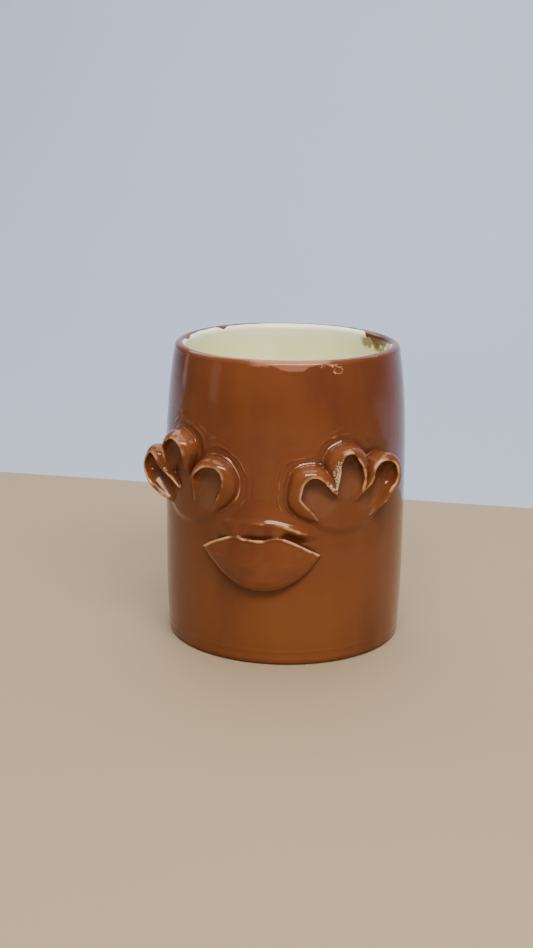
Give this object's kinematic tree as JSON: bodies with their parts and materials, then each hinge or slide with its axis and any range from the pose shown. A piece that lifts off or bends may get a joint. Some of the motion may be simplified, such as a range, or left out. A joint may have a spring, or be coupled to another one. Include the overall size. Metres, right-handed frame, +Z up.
{
  "type": "tiki mug",
  "caption": "Straight glazed stoneware tumbler mug with a face in applied clay: curled petal eyes, a leaf-shaped mouth and a ridge above it; cream lined, no handle.",
  "frame": {"origin": "centre of the mug's foot, on the plane it stands on", "axes": "+Z up through the mouth of the mug, the face looks along -Y, +X is on a viewer's right who looks at the face"},
  "size_m": [0.1007, 0.0981, 0.1153],
  "materials": {
    "bare_stoneware": "unglazed fired clay, matt and slightly gritty",
    "amber_glaze": "glossy translucent amber brown that breaks to tan on edges and pools darker in hollows",
    "cream_glaze": "glossy opaque cream"
  },
  "bodies": {
    "root": {"clay_body": "bare_stoneware", "amber_glaze": "amber_glaze", "cream_glaze": "cream_glaze", "left_eye_palm": "amber_glaze", "left_eye_inner_curl": "amber_glaze", "left_eye_middle_curl": "amber_glaze", "left_eye_outer_curl": "amber_glaze", "right_eye_palm": "amber_glaze", "right_eye_inner_curl": "amber_glaze", "right_eye_middle_curl": "amber_glaze", "right_eye_outer_curl": "amber_glaze", "mouth_leaf": "amber_glaze", "lip_ridge": "amber_glaze"}
  },
  "joints": []
}
